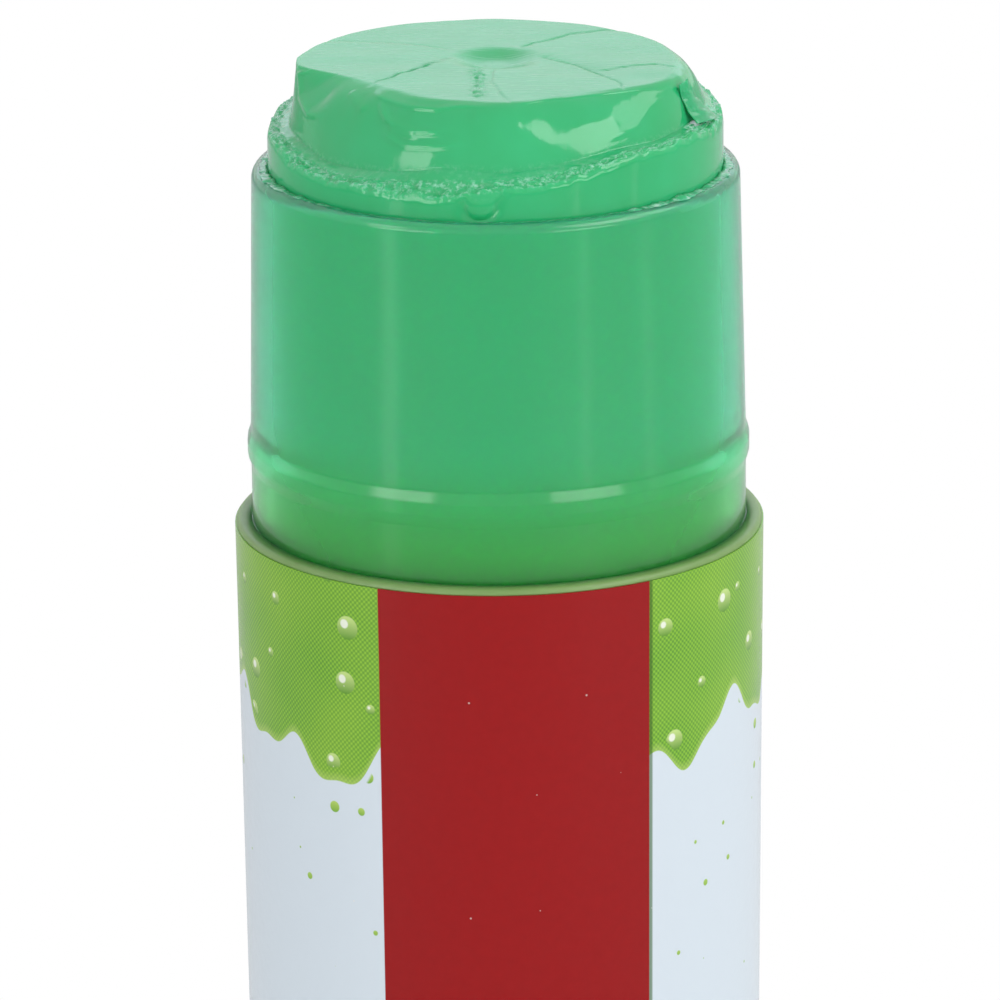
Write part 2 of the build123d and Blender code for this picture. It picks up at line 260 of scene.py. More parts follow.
def glueSurface():
    # Each row runs round the column. The rows climb the wall from inside the cup, cross the torn ledge,
    # climb the step's wall on a cubic curve, and then draw in over the top to its middle.
    g = glue
    degrees = np.arange(g["around"]) * 360 / g["around"] - 180
    phi = np.radians(degrees)
    at = {name: roundTable(name, degrees) for name in step if name != "angle"}
    edgeWobble = 0.07 * latticeNoise(degrees / 9, 0 * phi, 40, 1) + 0.02 * latticeNoise(degrees / 3, 0 * phi,
        120, 2)
    tear = latticeNoise(degrees / 2.5, 0 * phi, 144, 3)
    tearFine = latticeNoise(degrees, 0 * phi, 360, 4)
    edge = at["edge"] + edgeWobble
    outer = at["outerZ"] + 0.10 * tear + 0.06 * tearFine
    radii, heights, torn = [], [], []

    def row(radius, height, tornHere=0.0):
        radii.append(radius + 0 * phi)
        heights.append(height + 0 * phi)
        torn.append(tornHere + 0 * phi)

    side = np.minimum(np.abs((degrees + 90)), np.abs(degrees - 90))
    halfAngle = np.degrees(g["grooveHalf"] / g["columnRadius"])
    groove = g["grooveDepth"] * (1 - smoothStep(halfAngle, halfAngle + 1.0, side))
    row(g["cupRadius"], g["lowZ"])
    row(g["cupRadius"], g["cupTopZ"])
    row(g["columnRadius"] - groove, g["cupTopZ"] + 0.02)
    row(g["columnRadius"] - groove, g["grooveTopZ"])
    row(g["columnRadius"], g["grooveTopZ"] + 0.05)
    row(g["columnRadius"], g["plainZ"])
    for z in np.linspace(g["bandLowZ"], g["bandTopZ"], g["dropRows"]):
        # a drop has run down the front and set: a round cap that stands in a shallow moat
        fromDrop = np.hypot((degrees - g["dropAngle"]) * g["arcPerDegree"], z - g["dropZ"]) / g["dropRadius"]
        cap = g["dropHeight"] * np.sqrt(np.clip(1 - fromDrop**2, 0, 1)) - g["dropMoat"] * smoothStep(1.9, 0.9,
            fromDrop)
        rising = smoothStep(g["bandLowZ"], g["bandTopZ"], z)
        lift = (outer - g["ledgeZ"]) * rising * 0.9 * smoothStep(0.9, 1.6, fromDrop)
        row(g["columnRadius"] - 0.02 + cap, z + lift)
    for t in np.linspace(0, 1, g["ledgeRows"]):
        # the ledge: a band along its outer rim is torn into small scales, and the rest is nearly smooth
        ragged = np.sin(np.pi * min(t / g["tornBand"], 1)) ** 0.5 + 0.12
        scales = latticeNoise(degrees / 3 + 0.5 * t, t * 7 + 0 * phi, 120, 8)
        scales = scales + 0.6 * latticeNoise(degrees, t * 14 + 0 * phi, 360, 9)
        radius = g["columnRadius"] - 0.02 + (at["foot"]
            - g["columnRadius"]) * t + 0.10 * scales * ragged - 0.05
        height = outer + (at["footZ"] - outer) * (0.35 * np.sqrt(t) + 0.65 * t) + 0.09 * scales * ragged
        row(np.minimum(radius, g["columnRadius"]), height, min(ragged, 1.0))
    foot = at["foot"] - 0.05
    for q in np.linspace(0.03, 1, g["wallRows"]):
        # cubic from the foot: out of the ledge, up the wall, round the brow and on to the top's edge
        w0, w1, w2, w3 = (1 - q)**3, 3 * q * (1 - q)**2, 3 * q * q * (1 - q), q**3
        radius = w0 * foot + w1 * (foot - 0.35) + w2 * (edge + at["brow"]) + w3 * edge
        height = w0 * at["footZ"] + w1 * (at["footZ"] + 0.9) + w2 * (g["topZ"] - at["fall"]) + w3 * g["topZ"]
        drag = latticeNoise(degrees / 9 + 2.5 * q, q * 9 + 0 * phi, 40, 10)
        radius = radius + 0.014 * drag * np.sin(np.pi * q)
        for path, halfWidth, rise in ridges:
            stretched = [(a * g["ridgeArc"], b * g["ridgeRise"]) for a, b in path]
            d, along, side = nearPath(degrees * g["ridgeArc"], q * g["ridgeRise"] + 0 * phi, stretched)
            ends = smoothStep(0, 0.15, along) * smoothStep(1, 0.8, along) if halfWidth < 0.5 else 1.0
            radius = radius + rise * bump(d, halfWidth) * ends
        row(radius, height, 0.25 * smoothStep(0.14, 0.0, q))
    for t in np.linspace(1, 0.01, g["topRows"])[1:]:
        row(edge * t, g["topZ"])
    radius, height, torn = np.stack(radii), np.stack(heights), np.stack(torn)
    x, y = radius * np.sin(phi), -radius * np.cos(phi)
    onTop = smoothStep(g["topZ"] - 0.35, g["topZ"] - 0.02, height) * smoothStep(-0.1, 0.5,
        edge + 0.45 - radius)
    relief, chipped = topRelief(x, y)
    height = np.minimum(height + onTop * relief, g["highestZ"])
    return np.stack([x, y, height], axis=-1), np.clip(torn + onTop * chipped * 0.8, 0, 1), onTop


gluePoints, glueTorn, glueRubbed = glueSurface()
gluePiece = gridPiece("glue_column", gluePoints)
for name, share in (("torn", glueTorn), ("rubbed", glueRubbed)):
    layer = gluePiece.data.attributes.new(name, "FLOAT", "POINT")
    layer.data.foreach_set("value", np.concatenate([share.ravel(), [0, share[-1, 0]]]))
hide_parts("glue")
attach(gluePiece, "carrier")

# Firm gel, cast and then rubbed away on paper: light runs a little way into it, and its skin is moist. The
# rubbing leaves fine streaks from side to side with a painted sheen along them, and the torn ledge has
# painted glints.
gel = dict(
    body="#2cb06b", cloudDark="#26b46c", cloudLight="#2fc27f", paintedSheen="#8fd6bb", paintedGlint="#9fe2c6",
    roughness=0.22, wallRoughness=0.09, topRoughness=(0.16, 0.34), ior=1.5, lightRunsIn=1.5,
    streaks=(320, 6200, 0), ripples=(1300, 1300, 160), grains=3000.0, clouds=300.0,
    tornDepth=0.085, skinDepth=0.010, paintedSheenShare=0.35,
)
glueGel, tree, shader = newMaterial(
    "cast green glue gel", Base_Color=linear(gel["body"]), Roughness=gel["roughness"], IOR=gel["ior"],
    Subsurface_Weight=0.35, Subsurface_Radius=(0.4, 1.0, 0.6), Subsurface_Scale=gel["lightRunsIn"] * mm,
)
place = addNode(tree, "TexCoord").outputs["Object"]
torn = addNode(tree, "Attribute", attribute_name="torn").outputs["Fac"]
rubbed = addNode(tree, "Attribute", attribute_name="rubbed").outputs["Fac"]
# streaks 0.16 mm apart and 3 mm long on the top, soft vertical ripples 0.8 mm apart on the wall, grains on
# the ledge
drawn = addNode(tree, "Mapping", {"Vector": place, "Scale": gel["streaks"]})
drawn = addNode(tree, "TexNoise", {"Vector": drawn, "Scale": 1.0, "Detail": 2.0})
ripple = addNode(tree, "Mapping", {"Vector": place, "Scale": gel["ripples"]})
ripple = addNode(tree, "TexNoise", {"Vector": ripple, "Scale": 1.0, "Detail": 3.0})
grain = addNode(tree, "TexNoise", {"Vector": place, "Scale": gel["grains"], "Detail": 4.0, "Roughness": 0.7})
skin = ripple
for share, relief in ((rubbed, drawn), (torn, grain)):
    layered = {"Factor": share, "A": skin, "B": relief}
    skin = addNode(tree, "Mix", layered, data_type="FLOAT")
depth = addNode(tree, "Math", [torn, gel["tornDepth"] * mm, gel["skinDepth"] * mm], operation="MULTIPLY_ADD")
skin = addNode(tree, "Bump", {"Height": skin, "Distance": depth})
plug(shader, {"Normal": skin})
rough = addNode(tree, "MapRange", {"Value": drawn, "To Min": gel["topRoughness"][0],
    "To Max": gel["topRoughness"][1]})
rough = addNode(tree, "Mix", {"Factor": rubbed, "A": gel["wallRoughness"], "B": rough}, data_type="FLOAT")
plug(shader, {"Roughness": rough})
# painted sheen: along the streaks the paper drew, the top's skin is painted paler; the gel's body is cloudy
# over 2 to 4 mm
paintedSheenMask = addNode(tree, "MapRange", {"Value": drawn, "From Min": 0.58, "From Max": 0.72})
paintedSheenMask = addNode(tree, "Math", [paintedSheenMask, rubbed], operation="MULTIPLY")
paintedSheenMask = addNode(tree, "Math", [paintedSheenMask, gel["paintedSheenShare"]], operation="MULTIPLY")
cloud = addNode(tree, "TexNoise", {"Vector": place, "Scale": gel["clouds"], "Detail": 2.0})
gelColours = {"Factor": cloud, "A": linear(gel["cloudDark"]), "B": linear(gel["cloudLight"])}
gelColour = addNode(tree, "Mix", gelColours, data_type="RGBA")
# painted glints: pale flecks on the torn ledge and other torn spots stand in for light sparkling on them
paintedGlintMask = addNode(tree, "MapRange", {"Value": grain, "From Min": 0.48, "From Max": 0.70})
paintedGlintMask = addNode(tree, "Math", [paintedGlintMask, torn], operation="MULTIPLY")
glintColours = {"Factor": paintedGlintMask, "A": gelColour, "B": linear(gel["paintedGlint"])}
gelColour = addNode(tree, "Mix", glintColours, data_type="RGBA")
skinColours = {"Factor": paintedSheenMask, "A": gelColour, "B": linear(gel["paintedSheen"])}
skinColour = addNode(tree, "Mix", skinColours, data_type="RGBA")
plug(shader, {"Base Color": skinColour})
gluePiece.data.materials.append(glueGel)
print("glue made")


# Glue that was left on the rim, and a shaving that hangs from the top

smear = dict(
    innerRadius=12.8, lowZ=92.0, rimZ=92.4, lipRadius=12.92, around=720,
    angle=[-180, -120, -88, -72, -58, -44, -34, -10, 10, 26, 38, 50, 62, 76, 90, 120],
    width=[0.08, 0.15, 0.30, 0.50, 0.30, 0.12, 0.05, 0.03, 0.03, 0.06, 0.36, 0.50, 0.30, 0.45, 0.30, 0.10],
)


def smearSurface():
    # a low bank of glue that fills the gap at the rim's inner edge and runs out over the lip by a ragged
    # width
    g = smear
    degrees = np.arange(g["around"]) * 360 / g["around"] - 180
    phi = np.radians(degrees)
    ragged = latticeNoise(degrees / 2, 0 * phi, 180, 21) + 0.6 * latticeNoise(degrees, 0 * phi, 360, 22)
    width = np.interp(degrees, g["angle"] + [180], g["width"] + [g["width"][0]]) * (1 + 0.30 * ragged)
    bank = -0.06 + 0.24 * np.clip(width, 0, 0.6) * (1 + 0.4 * ragged)
    lip = g["lipRadius"]
    profile = [
        (g["innerRadius"] + 0 * phi, g["lowZ"] + 0 * phi),
        (lip - 0.03 + 0 * phi, g["lowZ"] + 0 * phi),
        (lip + 0 * phi, g["rimZ"] - 0.06 + 0 * phi),
        (lip + 0.5 * width, g["rimZ"] - 0.01 + 0 * phi),
        (lip + width, g["rimZ"] + 0.0 * phi),
        (lip + 0.9 * width, g["rimZ"] + 0.35 * bank),
        (lip + 0.5 * width, g["rimZ"] + 0.9 * bank),
        (lip + 0.1 * width, g["rimZ"] + 0.8 * bank),
        (g["innerRadius"] + 0 * phi, g["rimZ"] + 1.2 * bank),
    ]
    return np.stack([np.stack([r * np.sin(phi), -r * np.cos(phi), z], axis=-1) for r, z in profile])


def shavingSurface():
    # A curled sheet 0.1 mm thick between the top's right edge and the ledge: four corners, bowed outwards;
    # going round the sheet's section is the second axis, going down is the first.
    down, across = np.meshgrid(np.linspace(0, 1, 40), np.linspace(0, 1, 24), indexing="ij")
    corners = np.array([[(10.2, -4.2, 97.8), (10.65, -3.6, 98.05)],
        [(11.2, -4.8, 95.75), (12.35, -2.6, 95.5)]])
    weights = [(1 - down) * (1 - across), (1 - down) * across, down * (1 - across), down * across]
    middle = sum(w[..., None] * c for w, c in zip(weights, corners.reshape(4, 3)))
    outwards = np.array([0.62, -0.72, 0.30])
    bow = 0.25 * np.sin(np.pi * across) * (0.4 + 0.6 * down) - 0.30 * np.sin(np.pi * down)
    wave = 0.05 * latticeNoise(down * 9, across * 3, 40, 23)
    middle = middle + (bow + wave)[..., None] * outwards
    back = middle - 0.10 * outwards
    return np.concatenate([middle, back[:, ::-1]], axis=1)


smearPiece = gridPiece("glue_on_rim", smearSurface(), closeEnds=False)
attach(smearPiece, "barrel")
shavingPiece = gridPiece("glue_shaving", shavingSurface())
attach(shavingPiece, "carrier")

# Glue that has dried in the air: its skin has turned whitish in grains, and light still runs into it.
dried = dict(
    film="#7acca4", moist="#45bd85", whitish="#c6eadd", roughness=0.18, ior=1.48,
    lightRunsIn=0.6, grains=2600.0, grainDepth=0.05,
)
driedGlue, tree, shader = newMaterial(
    "dried glue film", Base_Color=linear(dried["film"]), Roughness=dried["roughness"], IOR=dried["ior"],
    Subsurface_Weight=0.5, Subsurface_Radius=(0.4, 1.0, 0.7), Subsurface_Scale=dried["lightRunsIn"] * mm,
)
place = addNode(tree, "TexCoord").outputs["Object"]
grain = addNode(tree, "TexNoise", {"Vector": place, "Scale": dried["grains"], "Detail": 3.0,
    "Roughness": 0.6})
skin = addNode(tree, "Bump", {"Height": grain, "Distance": dried["grainDepth"] * mm})
plug(shader, {"Normal": skin})
whitish = addNode(tree, "MapRange", {"Value": grain, "From Min": 0.46, "From Max": 0.74})
driedColours = {"Factor": whitish, "A": linear(dried["moist"]), "B": linear(dried["whitish"])}
driedColour = addNode(tree, "Mix", driedColours, data_type="RGBA")
plug(shader, {"Base Color": driedColour})
smearPiece.data.materials.append(driedGlue)
shavingPiece.data.materials.append(glueGel)
print("glue on the rim made")


# Barrel: polypropylene, moulded, see-through but milky

# Thin polypropylene with a green tint: most light goes through and picks up the glue's colour, the rest
# scatters in the wall. Near the shoulder the wall is painted a brighter yellow green: painted light from the
# label's print, which also lifts the shade there.
wall = dict(
    tint="#6fface", paintedLabelLight="#72ee8a", above="#6ff8c8", roughness=0.14, ior=1.49, seeThrough=0.85,
    lightRunsIn=1.2, tintLowZ=72.2, tintHighZ=80.0, flow=(500, 500, 120), flowDepth=0.012,
)
tintedPp, tree, shader = newMaterial(
    "natural polypropylene, moulded", Base_Color=linear(wall["tint"]),
    Roughness=wall["roughness"], IOR=wall["ior"],
    Transmission_Weight=wall["seeThrough"], Subsurface_Weight=1.0, Subsurface_Radius=(0.6, 1.0,
        0.8), Subsurface_Scale=wall["lightRunsIn"] * mm,
)
place = addNode(tree, "TexCoord").outputs["Object"]
height = addNode(tree, "SeparateXYZ", [place]).outputs["Z"]
# painted light: between these heights the wall's colour turns from the label-lit yellow green to the clear
# tint
aboveShoulder = {"Value": height, "From Min": wall["tintLowZ"] * mm, "From Max": wall["tintHighZ"] * mm}
aboveShoulder = addNode(tree, "MapRange", aboveShoulder, interpolation_type="SMOOTHSTEP")
wallColours = {"Factor": aboveShoulder, "A": linear(wall["paintedLabelLight"]), "B": linear(wall["above"])}
wallColour = addNode(tree, "Mix", wallColours, data_type="RGBA")
plug(shader, {"Base Color": wallColour})
flow = addNode(tree, "Mapping", {"Vector": place, "Scale": wall["flow"]})
flow = addNode(tree, "TexNoise", {"Vector": flow, "Scale": 1.0, "Detail": 3.0})
skin = addNode(tree, "Bump", {"Height": flow, "Distance": wall["flowDepth"] * mm})
plug(shader, {"Normal": skin})
wear(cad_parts["barrel"], tintedPp)

shoulder = dict(
    neckRadius=14.03, flatRadius=14.6, round=0.3, z=72.0, skin=0.02, around=360,
    milky="#8fbd60", dark="#86b852", light="#a5cf7c", paintedNeckShade="#4f9d4f",
    shadeFrom=14.35, shadeTo=14.05, roughness=0.4, ior=1.49, flow=500.0,
)


def shoulderSurface():
    # the shoulder's skin: flat from the neck outwards, then a quarter round down to the label's edge
    g = shoulder
    phi = np.radians(np.arange(g["around"]) * 360 / g["around"])
    turn = np.linspace(0, np.pi / 2, 10)
    radii = np.concatenate([[g["neckRadius"]], g["flatRadius"] + g["round"] * np.sin(turn)])
    heights = np.concatenate([[g["z"]], g["z"] - g["round"] * (1 - np.cos(turn))])
    tilt = np.concatenate([[0], turn])
    outer = (radii + g["skin"] * np.sin(tilt), heights + g["skin"] * np.cos(tilt))
    r = np.concatenate([outer[0], radii[::-1]])
    z = np.concatenate([outer[1], heights[::-1]])
    return np.stack([r[:, None] * np.sin(phi), -r[:, None] * np.cos(phi), z[:, None] + 0 * phi], axis=-1)


shoulderPiece = gridPiece("shoulder_skin", shoulderSurface()[::-1], closeEnds=False)
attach(shoulderPiece, "barrel")

# The shoulder is the thickest wall, so it is milky, and the label's green print lights it from behind.
shoulderPp, tree, shader = newMaterial(
    "natural polypropylene, lit by the print", Base_Color=linear(shoulder["milky"]),
    Roughness=shoulder["roughness"], IOR=shoulder["ior"],
    Subsurface_Weight=0.5, Subsurface_Radius=(1.0, 1.0, 0.7), Subsurface_Scale=1.0 * mm,
)
place = addNode(tree, "TexCoord").outputs["Object"]
flow = addNode(tree, "TexNoise", {"Vector": place, "Scale": shoulder["flow"], "Detail": 3.0})
shoulderColours = {"Factor": flow, "A": linear(shoulder["dark"]), "B": linear(shoulder["light"])}
shoulderColour = addNode(tree, "Mix", shoulderColours, data_type="RGBA")
around = addNode(tree, "VectorMath", [place, (1, 1, 0)], operation="MULTIPLY")
radius = addNode(tree, "VectorMath", [around], operation="LENGTH")
# painted shade: the skin turns darker green over its last 0.3 mm towards the neck, where the neck shades it
paintedShadeShare = {"Value": radius, "From Min": shoulder["shadeFrom"] * mm, "From Max": shoulder["shadeTo"] * mm}
paintedShadeShare = addNode(tree, "MapRange", paintedShadeShare)
neckColours = {"Factor": paintedShadeShare, "A": shoulderColour, "B": linear(shoulder["paintedNeckShade"])}
shoulderColour = addNode(tree, "Mix", neckColours, data_type="RGBA")
plug(shader, {"Base Color": shoulderColour})
shoulderPiece.data.materials.append(shoulderPp)
print("barrel dressed")


# Inner pieces and turning base

# Unpolished polypropylene: waxy white, lightly frosted by the mould's spark-eroded skin.
inner = dict(
    waxy="#e4e7df", dark="#dadfd4", light="#eceee8", roughness=0.5, ior=1.49, lightRunsIn=0.8,
    frost=2500.0, frostDepth=0.02, flow=120.0,
)
innerPp, tree, shader = newMaterial(
    "natural polypropylene, unpolished", Base_Color=linear(inner["waxy"]),
    Roughness=inner["roughness"], IOR=inner["ior"],
    Subsurface_Weight=0.4, Subsurface_Radius=(1.0, 1.0, 0.9), Subsurface_Scale=inner["lightRunsIn"] * mm,
)
place = addNode(tree, "TexCoord").outputs["Object"]
frost = addNode(tree, "TexNoise", {"Vector": place, "Scale": inner["frost"], "Detail": 2.0})
skin = addNode(tree, "Bump", {"Height": frost, "Distance": inner["frostDepth"] * mm})
plug(shader, {"Normal": skin})
flow = addNode(tree, "TexNoise", {"Vector": place, "Scale": inner["flow"], "Detail": 2.0})
innerColours = {"Factor": flow, "A": linear(inner["dark"]), "B": linear(inner["light"])}
innerColour = addNode(tree, "Mix", innerColours, data_type="RGBA")
plug(shader, {"Base Color": innerColour})
for name in ("spindle", "carrier"):
    wear(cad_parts[name], innerPp)

# Coloured polypropylene: pigment swirls along the flow, and a fine matt grain for the fingers.
knob = dict(
    green="#76b32a", dark="#6ca524", light="#80bf31", roughness=0.36, roughnessSpan=(0.28, 0.46), ior=1.49,
    grain=3500.0, grainDepth=0.02, swirl=(90, 90, 260),
)
knobPp, tree, shader = newMaterial(
    "green polypropylene, moulded", Base_Color=linear(knob["green"]),
    Roughness=knob["roughness"], IOR=knob["ior"],
)
place = addNode(tree, "TexCoord").outputs["Object"]
grain = addNode(tree, "TexNoise", {"Vector": place, "Scale": knob["grain"], "Detail": 2.0})
skin = addNode(tree, "Bump", {"Height": grain, "Distance": knob["grainDepth"] * mm})
plug(shader, {"Normal": skin})
rough = dict(zip(("To Min", "To Max"), knob["roughnessSpan"]), Value=grain)
rough = addNode(tree, "MapRange", rough)
plug(shader, {"Roughness": rough})
flow = addNode(tree, "Mapping", {"Vector": place, "Scale": knob["swirl"]})
swirl = {"Vector": flow, "Scale": 1.0, "Detail": 3.0, "Distortion": 0.8}
flow = addNode(tree, "TexNoise", swirl)
knobColours = {"Factor": flow, "A": linear(knob["dark"]), "B": linear(knob["light"])}
knobColour = addNode(tree, "Mix", knobColours, data_type="RGBA")
plug(shader, {"Base Color": knobColour})
wear(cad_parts["knob"], knobPp)
print("inner pieces and base dressed")


# Label: a generic print of a bare red band over green with a wavy edge, bubbles and dots

label = dict(
    radius=15.0, waveZ=61.6, lowWaveZ=17.0, bandLeft=-26.8, bandRight=33.4, bandLine=0.20,
    screenPitch=0.21, bubbleCell=4.0, dotCell=2.3, fleckCell=6.5,
    red="#a30a0e", redDeep="#96060a", white="#dde8f1", greenDot="#8fc63c", greenGround="#64a038",
    rim="#3f6b1e",
    film="#93c93c", groundLight="#76ae3a", dotLight="#9ccb44", edgePale="#c3de7a", bubbleDark="#5f9a2c",
    bubblePale="#c9e48b", glint="#f2f8e6", spotDark="#79b23a", spotPale="#bfdc6e",
    fleck="#f3eee6", seam="#8f968c",
    roughness=0.22, roughnessSpan=(0.17, 0.28), ior=1.5, shine=0.25, peel=1800.0, peelDepth=0.012,
)


def roundSpots(tree, flat, cell, least, most, share):
    # round spots of random size, one to a cell where the cell's draw allows: how far inside the spot, and
    # where in it
    voronoi = {"Vector": flat, "Scale": 1.0 / cell, "Randomness": 0.75}
    voronoi = addNode(tree, "TexVoronoi", voronoi, voronoi_dimensions="2D")
    draw = addNode(tree, "SeparateColor", [voronoi.outputs["Color"]])
    size = addNode(tree, "Math", [draw.outputs[0], most - least, least], operation="MULTIPLY_ADD")
    size = addNode(tree, "Math", [size, addNode(tree, "Math", [draw.outputs[1], share],
        operation="LESS_THAN")], operation="MULTIPLY")
    centre = addNode(tree, "VectorMath", [flat, voronoi.outputs["Position"]], operation="SUBTRACT")
    offset = addNode(tree, "SeparateXYZ", [centre])
    far = addNode(tree, "VectorMath", [centre], operation="LENGTH")
    inside = addNode(tree, "Math", [size, far], operation="SUBTRACT")
    return inside, offset.outputs["X"], offset.outputs["Y"], size


# Film printed in four colours and varnished: the print screen shows in the green, and the varnish has a
# faint orange peel.
labelFilm, tree, shader = newMaterial(
    "printed film, varnished", Base_Color=linear(label["film"]), Roughness=label["roughness"],
    IOR=label["ior"], Specular_IOR_Level=label["shine"],
)
place = addNode(tree, "TexCoord").outputs["Object"]
axes = addNode(tree, "SeparateXYZ", [place])
toFront = addNode(tree, "Math", [axes.outputs["Y"], -1.0], operation="MULTIPLY")
angle = addNode(tree, "Math", [axes.outputs["X"], toFront], operation="ARCTAN2")
arc = addNode(tree, "Math", [angle, label["radius"]], operation="MULTIPLY")
height = addNode(tree, "Math", [axes.outputs["Z"], 1000.0], operation="MULTIPLY")
flat = addNode(tree, "CombineXYZ", {"X": arc, "Y": height})

# the print screen: dots in rows at 45 degrees, from the product of two cosines; larger clouds shade the ink
perMm = np.pi * 2**0.5 / label["screenPitch"]
screenAcross = addNode(tree, "Math", [addNode(tree, "Math", [arc, perMm], operation="MULTIPLY")],
    operation="COSINE")
screenUp = addNode(tree, "Math", [addNode(tree, "Math", [height, perMm], operation="MULTIPLY")],
    operation="COSINE")
screen = addNode(tree, "MapRange", [addNode(tree, "Math", [screenAcross, screenUp], operation="MULTIPLY"),
    -0.4, 0.6])
shading = addNode(tree, "TexNoise", {"Vector": flat, "Scale": 0.16, "Detail": 1.0})
shading = addNode(tree, "MapRange", [shading, 0.35, 0.68])
ground = addNode(tree, "Mix", [shading, linear(label["greenGround"]), linear(label["groundLight"])],
    data_type="RGBA")
dots = addNode(tree, "Mix", [shading, linear(label["greenDot"]), linear(label["dotLight"])], data_type="RGBA")
green = addNode(tree, "Mix", [screen, ground, dots], data_type="RGBA")

# the green's wavy edge: three sines round the barrel, and the same turned over near the foot
swell = addNode(tree, "Math", [addNode(tree, "Math", [angle, 5.0, 2.2], operation="MULTIPLY_ADD")],
    operation="SINE")
ripples = addNode(tree, "Math", [addNode(tree, "Math", [angle, 13.0, 0.6], operation="MULTIPLY_ADD")],
    operation="SINE")
small = addNode(tree, "Math", [addNode(tree, "Math", [angle, 29.0, 1.9], operation="MULTIPLY_ADD")],
    operation="SINE")
wave = addNode(tree, "Math", [ripples, 1.0, addNode(tree, "Math", [small, 0.35], operation="MULTIPLY")],
    operation="MULTIPLY_ADD")
wave = addNode(tree, "Math", [swell, 1.1, wave], operation="MULTIPLY_ADD")
aboveEdge = addNode(tree, "Math", [height, addNode(tree, "Math", [wave, label["waveZ"]], operation="ADD")],
    operation="SUBTRACT")
belowEdge = addNode(tree, "Math", [addNode(tree, "Math", [wave, label["lowWaveZ"]], operation="ADD"), height],
    operation="SUBTRACT")
intoGreen = addNode(tree, "Math", [aboveEdge, belowEdge], operation="MAXIMUM")
greenShare = addNode(tree, "MapRange", [intoGreen, -0.03, 0.03])
edgeShade = addNode(tree, "Math", [addNode(tree, "MapRange", [intoGreen, 0.55, 0.05]), 0.45],
    operation="MULTIPLY")
green = addNode(tree, "Mix", [edgeShade, green, linear(label["edgePale"])], data_type="RGBA")

# bubbles in the green: a paler face, a dark lower rim and a white glint at the upper left
bubble, acrossSpot, upSpot, size = roundSpots(tree, flat, label["bubbleCell"], 0.25, 0.72, 0.80)
bubbleShare = addNode(tree, "Math", [addNode(tree, "MapRange", [bubble, 0.0, 0.06]),
    addNode(tree, "MapRange", [intoGreen, 0.7, 0.9])], operation="MULTIPLY")
shade = addNode(tree, "MapRange", [addNode(tree, "Math",
    [upSpot, addNode(tree, "Math", [size, 0.1], operation="MAXIMUM")], operation="DIVIDE"), -1.0, 0.8])
bubbleColour = addNode(tree, "Mix", [shade, linear(label["bubbleDark"]), linear(label["bubblePale"])],
    data_type="RGBA")
glintAcross = addNode(tree, "Math", [acrossSpot, addNode(tree, "Math", [size, 0.28], operation="MULTIPLY")],
    operation="ADD")
glintUp = addNode(tree, "Math", [upSpot, addNode(tree, "Math", [size, 0.30], operation="MULTIPLY")],
    operation="SUBTRACT")
fromGlint = addNode(tree, "CombineXYZ", {"X": glintAcross, "Y": glintUp})
fromGlint = addNode(tree, "VectorMath", [fromGlint], operation="LENGTH")
glint = addNode(tree, "Math", [addNode(tree, "Math", [size, 0.42], operation="MULTIPLY"), fromGlint],
    operation="SUBTRACT")
bubbleColour = addNode(tree, "Mix", [addNode(tree, "MapRange", [glint, 0.0, 0.08]), bubbleColour,
    linear(label["glint"])], data_type="RGBA")
green = addNode(tree, "Mix", [bubbleShare, green, bubbleColour], data_type="RGBA")

# round green dots on the white, thinning out away from the green
dot, acrossDot, upDot, dotSize = roundSpots(tree, flat, label["dotCell"], 0.10, 0.45, 0.62)
fewer = addNode(tree, "MapRange", [intoGreen, -13.0, -1.2])
dot = addNode(tree, "Math", [dot, addNode(tree, "Math", [fewer, -0.34, 0.34], operation="MULTIPLY_ADD")],
    operation="SUBTRACT")
dotShade = addNode(tree, "MapRange", [addNode(tree, "Math",
    [upDot, addNode(tree, "Math", [dotSize, 0.1], operation="MAXIMUM")], operation="DIVIDE"), -1.0, 1.0])
dotColour = addNode(tree, "Mix", [dotShade, linear(label["spotDark"]), linear(label["spotPale"])],
    data_type="RGBA")
dotShare = addNode(tree, "Math", [addNode(tree, "MapRange", [dot, 0.0, 0.05]),
    addNode(tree, "MapRange", [intoGreen, -0.5, -0.8])], operation="MULTIPLY")
ground = addNode(tree, "Mix", [dotShare, linear(label["white"]), dotColour], data_type="RGBA")
ground = addNode(tree, "Mix", [greenShare, ground, green], data_type="RGBA")

# the bare red band, with a thin dark line at its right side where two inks overlap
left = label["radius"] * np.radians(label["bandLeft"])
right = label["radius"] * np.radians(label["bandRight"])
centre, halfBand = (left + right) / 2, (right - left) / 2
fromBand = addNode(tree, "Math", [addNode(tree, "Math", [arc, centre], operation="SUBTRACT")],
    operation="ABSOLUTE")
bandShare = addNode(tree, "MapRange", [fromBand, halfBand + 0.02, halfBand - 0.02])
lineEnd = addNode(tree, "MapRange", [arc, right + label["bandLine"] + 0.06, right + label["bandLine"] - 0.04])
lineShare = addNode(tree, "Math", [addNode(tree, "MapRange", [arc, right - 0.03, right]), lineEnd],
    operation="MULTIPLY")
inkCloud = {"Vector": flat, "Scale": 1.6, "Detail": 4.0, "Roughness": 0.6}
inkCloud = addNode(tree, "TexNoise", inkCloud)
red = addNode(tree, "Mix", [inkCloud, linear(label["redDeep"]), linear(label["red"])], data_type="RGBA")
ground = addNode(tree, "Mix", [addNode(tree, "Math", [lineShare, 0.75], operation="MULTIPLY"), ground,
    linear(label["rim"])], data_type="RGBA")
ground = addNode(tree, "Mix", [bandShare, ground, red], data_type="RGBA")
fleck = roundSpots(tree, flat, label["fleckCell"], 0.03, 0.07, 0.55)[0]
ground = addNode(tree, "Mix", [addNode(tree, "Math", [addNode(tree, "MapRange", [fleck, 0.0, 0.03]), 0.5],
    operation="MULTIPLY"), ground, linear(label["fleck"])], data_type="RGBA")

